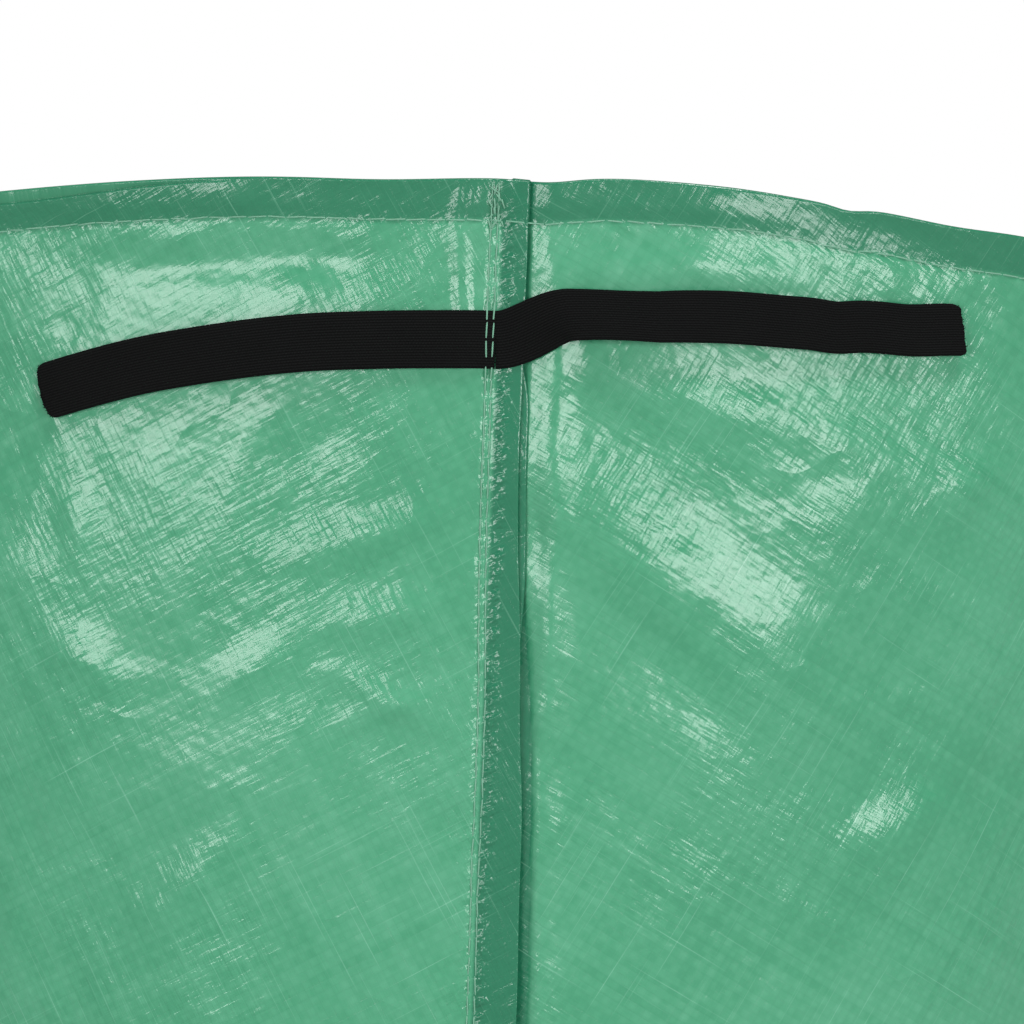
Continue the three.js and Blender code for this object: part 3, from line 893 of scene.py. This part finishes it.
def rowTree():
    tree = bpy.data.node_groups.new("rowOfThreads", "GeometryNodeTree")
    tree.interface.new_socket("Path", in_out="INPUT", socket_type="NodeSocketGeometry")
    for name, kind in rowInputs:
        tree.interface.new_socket(name, in_out="INPUT", socket_type=kind)
    tree.interface.new_socket("Threads", in_out="OUTPUT", socket_type="NodeSocketGeometry")
    graph = Graph(tree)
    graph.add("NodeGroupInput")
    given = {name: graph.out(name) for name in ["Path", *(name for name, kind in rowInputs)]}
    curve = graph.add("GeometryNodeMeshToCurve", None, {"Mesh": given["Path"]})
    evenly = {"Curve": curve, "Length": given["Pitch"]}
    curve = graph.add("GeometryNodeResampleCurve", dict(mode="LENGTH"), evenly)
    spine = graph.add(
        "GeometryNodeCurveQuadraticBezier", None,
        {"Resolution": 5, "Start": given["Start"], "Middle": given["Middle"], "End": given["End"]},
    )
    ring = graph.add("GeometryNodeCurvePrimitiveCircle", None, {"Resolution": 6, "Radius": given["Radius"]})
    one = graph.add(
        "GeometryNodeCurveToMesh", None, {"Curve": spine, "Profile Curve": ring, "Fill Caps": True}
    )
    tangent = graph.add("GeometryNodeInputTangent")
    outward = graph.add("GeometryNodeInputNamedAttribute", asVector, {"Name": "outward"})
    aim = graph.add("FunctionNodeAlignRotationToVector", dict(axis="X"), {"Vector": tangent})
    aim = graph.add(
        "FunctionNodeAlignRotationToVector", dict(axis="Z", pivot_axis="X"), {"Rotation": aim, "Vector": outward}
    )
    leftmost = graph.add("ShaderNodeMath", dict(operation="MULTIPLY"), [given["Turning"], -1.0])
    yaw = graph.add(
        "FunctionNodeRandomValue", asNumber, {2: leftmost, 3: given["Turning"], 8: given["Seed"]}, 1
    )
    spin = graph.add("FunctionNodeEulerToRotation", None, [graph.vector(0.0, 0.0, yaw)])
    aim = graph.add("FunctionNodeRotateRotation", dict(rotation_space="LOCAL"), [aim, spin])
    small = 1.0 - given["Uneven"]
    large = 1.0 + given["Uneven"]
    size = graph.add("FunctionNodeRandomValue", asNumber, {2: small, 3: large, 8: given["Seed"]}, 1)
    placed = graph.add(
        "GeometryNodeInstanceOnPoints", None,
        {"Points": curve, "Instance": one, "Rotation": aim, "Scale": graph.vector(size, 1.0, size)},
    )
    solid = graph.add("GeometryNodeRealizeInstances", None, {"Geometry": placed})
    solid = graph.add("GeometryNodeSetShadeSmooth", None, {0: solid})
    solid = graph.add("GeometryNodeSetMaterial", None, {"Geometry": solid, "Material": given["Material"]})
    graph.add("NodeGroupOutput", None, {"Threads": solid})
    return tree


threadRows = rowTree()
stitch = dict(pitch=0.0069, radius=0.00029, share=0.92, dip=0.00030, rise=0.00052)


# Threads along each path; a path is its points and the way out of the cloth at each.
def threadsAlong(
    name, paths, pitch, body="bag", material=threadMaterial,
    shape=None, turning=0.05, uneven=0.08, seed=1, radius=stitch["radius"],
):
    points, edges, outward = [], [], []
    for route, ways in paths:
        first = len(points)
        points += [tuple(p) for p in route]
        outward += [tuple(w) for w in ways]
        edges += [(i, i + 1) for i in range(first, len(points) - 1)]
    mesh = bpy.data.meshes.new(name)
    mesh.from_pydata(points, edges, [])
    attribute = mesh.attributes.new("outward", "FLOAT_VECTOR", "POINT")
    attribute.data.foreach_set("vector", np.asarray(outward, np.float32).ravel())
    piece = bpy.data.objects.new(name, mesh)
    bpy.context.scene.collection.objects.link(piece)
    half = pitch * stitch["share"] / 2
    shape = shape or ((-half, 0, -stitch["dip"]), (0, 0, stitch["rise"]), (half, 0, -stitch["dip"]))
    values = dict(zip(
        (name for name, kind in rowInputs),
        (pitch, radius, *shape, turning, uneven, seed, material),
    ))
    modifier = piece.modifiers.new("threads", "NODES")
    modifier.node_group = threadRows
    for item in threadRows.interface.items_tree:
        if item.in_out == "INPUT" and item.name in values:
            modifier[item.identifier] = values[item.name]
    settle(piece)
    if not piece.data.materials:
        piece.data.materials.append(material)
    if body:
        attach(piece, body)
    return piece


def pathOn(turns, downs, raised=0.0):
    turns, downs = np.broadcast_arrays(np.asarray(turns, float), np.asarray(downs, float))
    return surfacePoint(turns, downs, raised), coneOut(turns)


def stitchHem():
    turns = np.linspace(-math.pi, math.pi, 1400)
    wander = 0.0005 * hills(turns * rimRadius, turns * 0, 0.05, 51)
    path = pathOn(turns, wall["hemStitch"] + wander, 0.0003)
    piece = threadsAlong("hemStitches", [path], stitch["pitch"], turning=0.09, seed=3)
    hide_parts("hem_thread")


tie = dict(
    width=0.020, thickness=0.0013, reach=0.163, sewn=0.0035,
    sag=0.016, sagPower=2.2, step=0.0096, stepEnd=0.025, climb=0.0085, climbStart=0.32,
    leftAir=0.0028, rightAir=0.0024, ribs=21, ribHeight=0.00012, steps=120,
    turned=0.26, narrow=0.09,  # how far the right half turns on its edge, and draws in
    bulge=0.0013, slant=0.0030, corner=0.0026, ragged=0.0003, yarn=0.00010,
)
tiePivot = Vector(joints["front_tie_left_swing"]["pos_m"])
tieDown = (rimRadius - math.hypot(tiePivot.x, tiePivot.y)) * sinLean + (rimHeight - tiePivot.z) * cosLean


def stitchLap(place, seamTurn, side, seed):
    downs = np.linspace(0.0046, wallSlant - 0.006, 640)
    spread = rowSpread(downs) + 0.00020 * hills(downs, downs * 0, 0.035, seed)
    turns = seamTurn + (side * spread + seamDrift(downs)) / radiusAt(downs)
    top, bottom = tieDown - tie["width"] / 2, tieDown + tie["width"] / 2
    overTie = smooth(downs, top - 0.0014, top) * (1 - smooth(downs, bottom, bottom + 0.0014))
    onTie = np.max([wallRelief(turns, down) for down in np.linspace(top, bottom, 7)], axis=0)
    onTie = onTie + tie["thickness"]
    out = wallRelief(turns, downs) * (1 - overTie) + (onTie + 0.0003) * overTie + 0.0002
    points = conePoint(turns, downs + rimDrop(turns, downs), out)
    word = "right" if side > 0 else "left"
    path = (points, coneOut(turns))
    piece = threadsAlong(
        f"{place}LapStitches{word.title()}", [path], stitch["pitch"], turning=0.07, seed=seed
    )
    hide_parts(f"{place}_lap_thread_{word}")


# A tangle of back stitches where the lap's rows start at the rim.
def backStitch(place, seamTurn, seed):
    downs = np.linspace(0.0040, 0.0155, 60)
    paths = []
    for k in range(3):
        aside = -0.0002 - 0.0014 * k + 0.0011 * np.sin(downs * 900 + 2.1 * k)
        paths.append(pathOn(seamTurn + aside / rimRadius, downs, 0.0005))
    threadsAlong(f"{place}BackStitches", paths, 0.0027, turning=0.45, uneven=0.3, seed=seed)


def stitchBase():
    turns = np.linspace(-math.pi, math.pi, 900)
    radius = baseRadius - 0.0075
    height = np.full_like(turns, baseTop + 0.0017)
    points = np.stack([radius * np.sin(turns), -radius * np.cos(turns), height], axis=-1)
    up = np.tile([0.0, 0.0, 1.0], (len(turns), 1))
    piece = threadsAlong("baseStitches", [(points, up)], 0.0075, seed=9)
    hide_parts("base_seam_thread")


stitchHem()
for place, seamTurn, seed in (("front", 0.0, 61), ("back", math.pi, 71)):
    stitchLap(place, seamTurn, -1, seed)
    stitchLap(place, seamTurn, 1, seed + 1)
    backStitch(place, seamTurn, seed + 2)
stitchBase()
print("stitching made")


# ribbons: the ties and the handles

# A ribbon through frames of centre, across and out; section is a closed loop of (across, out).
# Each line along it runs on past the last frame by its own amount of cut.
def ribbon(name, centres, across, out, section, lengths, material, cut=None):
    section = np.asarray(section, float)
    count = len(section)
    points = (
        centres[:, None, :]
        + across[:, None, :] * section[None, :, 0, None]
        + out[:, None, :] * section[None, :, 1, None]
    )
    if cut is not None:
        share = smooth(np.abs(lengths) / np.abs(lengths).max(), 0.75, 1.0)
        points = points + share[:, None, None] * cut[None, :, None] * unit(centres[-1] - centres[-3])
    points = points.reshape(-1, 3)
    faces = []
    for i in range(len(centres) - 1):
        for k in range(count):
            after = (k + 1) % count
            a, b = i * count, (i + 1) * count
            faces.append((a + k, a + after, b + after, b + k))
    faces.append(tuple(range(count))[::-1])
    faces.append(tuple(range(len(points) - count, len(points))))
    uv = np.stack([np.tile(section[:, 0], len(centres)), np.repeat(lengths, count)], axis=-1)
    piece = meshObject(name, points, faces, material, uv)
    return faceOutwards(piece)


# Section of a flat strip with rounded edges and, if asked, ribs along it.
def stripSection(width, thickness, count, ribs=0, ribHeight=0.0):
    across = np.linspace(-1, 1, count)
    body = (1 - np.abs(across) ** 14) ** 0.5
    rib = ribHeight * np.abs(np.sin(across * math.pi * ribs / 2)) if ribs else 0 * across
    top = [(a * width / 2, (thickness / 2) * b + r * b) for a, b, r in zip(across, body, rib)]
    bottom = [(a * width / 2, -(thickness / 2) * b) for a, b in zip(across[::-1], body[::-1])]
    return top + bottom[1:-1]


def unit(vectors):
    return vectors / np.linalg.norm(vectors, axis=-1, keepdims=True)


def tieFrames(seamTurn, side, seed):
    t = np.linspace(0, 1, tie["steps"])
    run = t * tie["reach"]
    loose = np.clip((run - tie["sewn"]) / (tie["reach"] - tie["sewn"]), 0, 1)
    if side < 0:
        lower = tie["sag"] * loose ** tie["sagPower"]
        air, tilt, narrow = tie["leftAir"], -0.04 * np.ones_like(loose), 0 * loose
    else:
        climbed = np.maximum(0, (loose - tie["climbStart"]) / (1 - tie["climbStart"]))
        lower = -tie["step"] * smooth(run, 0, tie["stepEnd"]) - tie["climb"] * climbed
        lower = lower - 0.0018 * smooth(loose, 0.86, 1)
        air = tie["rightAir"]
        tilt = -0.10 - tie["turned"] * np.exp(-(((loose - 0.24) / 0.12) ** 2))
        narrow = tie["narrow"] * smooth(loose, 0.04, 0.16)
    lower = lower + 0.0004 * hills(run, run * 0, 0.035, seed) * smooth(loose, 0.02, 0.2)
    down = tieDown + lower
    turn = seamTurn + side * run / radiusAt(tieDown)
    edges = [wallRelief(turn, down + shift * tie["width"]) for shift in (-0.5, -0.25, 0, 0.25, 0.5)]
    highest = np.max(edges, axis=0)
    window = np.ones(9) / 9
    calm = np.maximum(np.convolve(np.pad(highest, 4, mode="edge"), window, "valid"), highest - 0.0002)
    lifted = air * np.sin(math.pi * loose) ** 2 + 0.0004 * smooth(loose, 0, 0.1)
    lean = tilt * smooth(loose, 0.02, 0.14)
    clear = np.abs(np.sin(lean)) * tie["width"] / 2
    out = calm + lifted + clear + tie["thickness"] / 2 + 0.00005
    centres = conePoint(turn, down + rimDrop(turn, down), out)
    along = unit(np.gradient(centres, axis=0)) * side
    normal = coneOut(turn)
    across = unit(np.cross(normal, along))
    lean = lean[:, None]
    turned = across * np.cos(lean) + normal * np.sin(lean)
    raised = normal * np.cos(lean) - across * np.sin(lean)
    return centres, unit(turned) * (1 - narrow)[:, None], unit(raised), run * side


# The free end is cut by hand: how much longer each line of the strip is than its reach.
def tieCut(aside, side, seed):
    share = aside / tie["width"]
    shape = -tie["slant"] * share if side > 0 else tie["bulge"] * np.cos(math.pi * share)
    corner = tie["corner"] * np.abs(2 * share) ** 12
    return shape - corner + tie["ragged"] * hills(aside, 0 * aside, 0.0013, seed)


def makeTie(place, seamTurn, side, seed):
    word = "right" if side > 0 else "left"
    centres, across, out, lengths = tieFrames(seamTurn, side, seed)
    section = stripSection(tie["width"], tie["thickness"], 64, tie["ribs"], tie["ribHeight"])
    cut = tieCut(np.array([a for a, b in section]), side, seed + 2)
    name = f"{place}Tie{word.title()}"
    piece = ribbon(name, centres, across, out, section, lengths, elasticMaterial, cut)
    body = f"{place}_tie_{word}"
    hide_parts(body, *([f"{place}_tie_middle"] if side < 0 else []))
    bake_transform(piece)
    # short loose yarns at the cut
    span = np.linspace(-0.46, 0.46, 40) * tie["width"]
    tangent = unit(centres[-1] - centres[-3])
    route = centres[-1] + across[-1] * span[:, None] + tangent * tieCut(span, side, seed + 2)[:, None]
    ways = np.tile(tangent, (len(route), 1))
    yarns = threadsAlong(
        f"{place}TieYarns{word.title()}", [(route, ways)], 0.0006, None, elasticMaterial,
        shape=((0, 0, -0.0005), (0.0002, 0.0003, 0.0001), (0.0001, -0.0003, 0.0005)),
        turning=3.0, uneven=0.6, seed=seed + 5, radius=tie["yarn"],
    )
    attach(yarns, body)


for place, seamTurn, seed in (("front", 0.0, 81), ("back", math.pi, 95)):
    makeTie(place, seamTurn, -1, seed)
    makeTie(place, seamTurn, 1, seed + 1)
print("ties made")


handle = dict(
    width=0.030, thickness=0.0018, top=0.018,
    spread=0.075,  # from the middle to each end, and the loop's radius
    sewn=0.070, straight=0.070, twistEnd=0.42,
)


# One handle as a single length of webbing: up one sewn end, over its fold, round the loop and back.
def handleFrames(middleTurn):
    pivot = Vector(joints["right_handle_swing"]["pos_m"])
    arc = math.pi * handle["spread"]
    length = 2 * handle["straight"] + arc
    t = np.linspace(0, 1, 150)
    run = t * length
    bend = np.clip((run - handle["straight"]) / handle["spread"], 0, math.pi)
    left = np.minimum(run, handle["straight"])
    right = np.maximum(run - handle["straight"] - arc, 0)
    centres = np.stack([
        np.full_like(t, pivot.x),
        -handle["spread"] * np.cos(bend),
        pivot.z - left - handle["spread"] * np.sin(bend) + right,
    ], axis=-1)
    twist = (math.pi / 2) * smooth(np.minimum(t, 1 - t), 0, handle["twistEnd"])
    inPlane = np.stack([0 * t, np.cos(bend), np.sin(bend)], axis=-1)
    out = np.cos(twist)[:, None] * np.array([1.0, 0, 0]) - np.sin(twist)[:, None] * inPlane
    along = np.stack([0 * t, np.sin(bend), -np.cos(bend)], axis=-1)

    def leg(side):
        down = np.linspace(handle["top"] + handle["sewn"], handle["top"], 24)
        turn = math.pi / 2 + side * handle["spread"] / radiusAt(down)
        relief = wallRelief(turn + middleTurn - math.pi / 2, down)
        points = conePoint(turn, down, relief + handle["thickness"] / 2 + 0.0001)
        return points, coneOut(turn)

    def fold(low, lowOut, high, highOut):
        centre = (low + high) / 2
        half = np.linalg.norm(high - low) / 2
        toLow = unit(low - centre)
        points, ways = [], []
        for angle in np.linspace(0, math.pi, 9)[1:-1]:
            way = toLow * math.cos(angle) + np.array([0, 0, 1.0]) * math.sin(angle)
            points.append(centre + way * half)
            ways.append(way)
        return np.array(points), np.array(ways)

    startPoints, startOut = leg(-1)
    endPoints, endOut = leg(1)
    up, upOut = fold(startPoints[-1], startOut[-1], centres[0], out[0])
    back, backOut = fold(endPoints[-1], endOut[-1], centres[-1], out[-1])
    allPoints = np.concatenate([startPoints, up, centres, back[::-1], endPoints[::-1]])
    # the face that lies outwards on the sewn end lies inwards on the loop, after the fold
    allOut = np.concatenate([startOut, -upOut, -out, -backOut[::-1], endOut[::-1]])
    allOut[: len(startOut)] = startOut
    allAlong = unit(np.gradient(allPoints, axis=0))
    allOut = unit(allOut - allAlong * np.sum(allOut * allAlong, axis=-1, keepdims=True))
    allAcross = unit(np.cross(allOut, allAlong))
    steps = np.linalg.norm(np.diff(allPoints, axis=0), axis=-1)
    return allPoints, allAcross, allOut, np.concatenate([[0], np.cumsum(steps)])


def makeHandle(word, middleTurn):
    centres, across, out, lengths = handleFrames(middleTurn)
    section = stripSection(handle["width"], handle["thickness"], 28)
    piece = ribbon(f"{word}Handle", centres, across, out, section, lengths, webbingMaterial)
    if middleTurn < 0:
        piece.data.transform(Matrix.Rotation(math.pi, 4, "Z"))
    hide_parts(f"{word}_handle_loop", f"{word}_handle_end_1", f"{word}_handle_end_2")
    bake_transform(piece)


# The stitched box and cross on each sewn end.
def stitchHandle(word, middleTurn, side, number):
    halfWidth = handle["width"] / 2 - 0.004
    top, bottom = handle["top"] + 0.014, handle["top"] + handle["sewn"] - 0.005
    corners = [(-1, top), (1, top), (1, bottom), (-1, bottom)]
    lines = [(0, 1), (1, 2), (2, 3), (3, 0), (0, 2), (1, 3)]
    paths = []
    for a, b in lines:
        t = np.linspace(0, 1, 30)
        down = corners[a][1] + (corners[b][1] - corners[a][1]) * t
        aside = side * handle["spread"] + halfWidth * (corners[a][0] + (corners[b][0] - corners[a][0]) * t)
        turn = middleTurn + aside / radiusAt(down)
        points = conePoint(turn, down, wallRelief(turn, down) + handle["thickness"] + 0.0002)
        paths.append((points, coneOut(turn)))
    piece = threadsAlong(f"{word}HandleStitches{number}", paths, 0.0036, seed=200 + number)
    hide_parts(f"{word}_handle_thread_{number}")


for word, middleTurn in (("right", math.pi / 2), ("left", -math.pi / 2)):
    makeHandle(word, middleTurn)
    stitchHandle(word, middleTurn, -1, 1)
    stitchHandle(word, middleTurn, 1, 2)
print("handles made")


# drain eyelets

# Outline of an eyelet with its washer, as radius and height out of the cloth.
def eyeletOutline():
    flange, bore, plate = eyelets["flange"], eyelets["bore"], eyelets["plate"]
    inner = -wall["thickness"] - 0.0001
    rounded = []
    middle, half = (flange + bore) / 2, (flange - bore) / 2
    for angle in np.linspace(0, math.pi, 2 * eyelets["rounding"] + 1):
        rounded.append((middle + half * math.cos(angle), 0.0001 + plate * 1.25 * math.sin(angle) ** 0.7))
    for angle in np.linspace(math.pi, 2 * math.pi, 2 * eyelets["rounding"] + 1):
        depth = math.copysign(abs(math.sin(angle)) ** 0.7, -1)
        rounded.append((middle + half * math.cos(angle), inner + plate * depth))
    neck = bore + 0.0006
    return [*rounded, (neck, inner), (neck, 0.0001)]


def eyeletMaster():
    outline = eyeletOutline()
    segments = 40
    points, faces = [], []
    for k in range(segments):
        angle = 2 * math.pi * k / segments
        points += [(r * math.cos(angle), r * math.sin(angle), z) for r, z in outline]
    count = len(outline)
    for k in range(segments):
        a, b = k * count, ((k + 1) % segments) * count
        for i in range(count):
            after = (i + 1) % count
            faces.append((a + i, a + after, b + after, b + i))
    return faceOutwards(meshObject("eyeletMaster", points, faces, nickelMaterial))


def eyeletTree(master):
    tree = bpy.data.node_groups.new("eyeletsOnPoints", "GeometryNodeTree")
    tree.interface.new_socket("Points", in_out="INPUT", socket_type="NodeSocketGeometry")
    tree.interface.new_socket("Eyelet", in_out="INPUT", socket_type="NodeSocketObject")
    tree.interface.new_socket("Metal", in_out="INPUT", socket_type="NodeSocketMaterial")
    tree.interface.new_socket("Eyelets", in_out="OUTPUT", socket_type="NodeSocketGeometry")
    graph = Graph(tree)
    graph.add("NodeGroupInput")
    points, eyelet, metal = graph.out("Points"), graph.out("Eyelet"), graph.out("Metal")
    graph.add("GeometryNodeObjectInfo", None, {"Object": eyelet})
    shape = graph.out("Geometry")
    outward = graph.add("GeometryNodeInputNamedAttribute", asVector, {"Name": "outward"})
    aim = graph.add("FunctionNodeAlignRotationToVector", dict(axis="Z"), {"Vector": outward})
    placed = graph.add(
        "GeometryNodeInstanceOnPoints", None, {"Points": points, "Instance": shape, "Rotation": aim}
    )
    solid = graph.add("GeometryNodeRealizeInstances", None, {"Geometry": placed})
    solid = graph.add("GeometryNodeSetMaterial", None, {"Geometry": solid, "Material": metal})
    graph.add("NodeGroupOutput", None, {"Eyelets": solid})
    return tree


def makeEyelets():
    master = eyeletMaster()
    turns = np.array([eyeletTurn(place) for place in eyeletPlaces])
    downs = np.array([eyeletDown(place) for place in eyeletPlaces])
    mesh = bpy.data.meshes.new("drainEyelets")
    mesh.from_pydata([tuple(p) for p in surfacePoint(turns, downs)], [], [])
    attribute = mesh.attributes.new("outward", "FLOAT_VECTOR", "POINT")
    attribute.data.foreach_set("vector", coneOut(turns).astype(np.float32).ravel())
    piece = bpy.data.objects.new("drainEyelets", mesh)
    bpy.context.scene.collection.objects.link(piece)
    modifier = piece.modifiers.new("eyelets", "NODES")
    modifier.node_group = eyeletTree(master)
    values = {"Eyelet": master, "Metal": nickelMaterial}
    for item in modifier.node_group.interface.items_tree:
        if item.in_out == "INPUT" and item.name in values:
            modifier[item.identifier] = values[item.name]
    settle(piece)
    bpy.data.objects.remove(master)
    piece.data.shade_smooth()
    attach(piece, "bag")
    numbers = range(1, eyelets["count"] + 1)
    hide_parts(*(f"drain_{kind}_{n}" for kind in ("eyelet", "washer") for n in numbers))


makeEyelets()
print("eyelets made")
